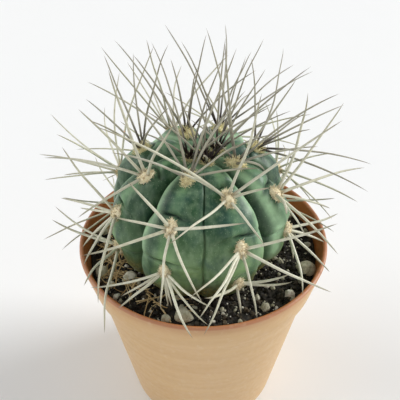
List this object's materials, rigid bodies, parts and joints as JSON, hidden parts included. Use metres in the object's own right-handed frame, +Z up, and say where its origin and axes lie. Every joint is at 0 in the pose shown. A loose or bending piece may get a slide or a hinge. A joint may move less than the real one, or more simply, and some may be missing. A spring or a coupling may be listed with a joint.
{
  "type": "potted chin cactus",
  "caption": "Small globular cactus with broad ribs and sprays of long curved spines, standing in dark gritty soil in a round tapered nursery pot. An ornament that rests on its flat foot.",
  "frame": {"origin": "middle of the pot's flat foot", "axes": "+Z up along the pot's axis, -Y towards the viewer's side, to which the stem leans, +X to the viewer's right"},
  "size_m": [0.089, 0.0748, 0.1079],
  "materials": {
    "pot_plastic": "thin tan plastic, satin",
    "peat_and_perlite": "dark crumbly peat with pale perlite chips",
    "cactus_skin": "blue-green waxy skin, soft sheen",
    "spines_and_felt": "cream felt pads and ivory to grey-brown spines"
  },
  "bodies": {
    "root": {"areole_1_1": "spines_and_felt", "areole_1_2": "spines_and_felt", "areole_1_3": "spines_and_felt", "areole_2_1": "spines_and_felt", "areole_2_2": "spines_and_felt", "areole_2_3": "spines_and_felt", "areole_2_4": "spines_and_felt", "areole_3_1": "spines_and_felt", "areole_3_2": "spines_and_felt", "areole_3_3": "spines_and_felt", "areole_4_1": "spines_and_felt", "areole_4_2": "spines_and_felt", "areole_4_3": "spines_and_felt", "areole_4_4": "spines_and_felt", "areole_5_2": "spines_and_felt", "areole_5_3": "spines_and_felt", "areole_5_4": "spines_and_felt", "areole_6_1": "spines_and_felt", "areole_6_2": "spines_and_felt", "areole_6_3": "spines_and_felt", "areole_7_1": "spines_and_felt", "areole_7_2": "spines_and_felt", "areole_7_3": "spines_and_felt", "areole_8_1": "spines_and_felt", "areole_8_2": "spines_and_felt", "areole_8_3": "spines_and_felt", "areole_8_4": "spines_and_felt", "crown_tuft": "spines_and_felt", "pot": "pot_plastic", "soil": "peat_and_perlite", "stem": "cactus_skin"}
  },
  "joints": []
}
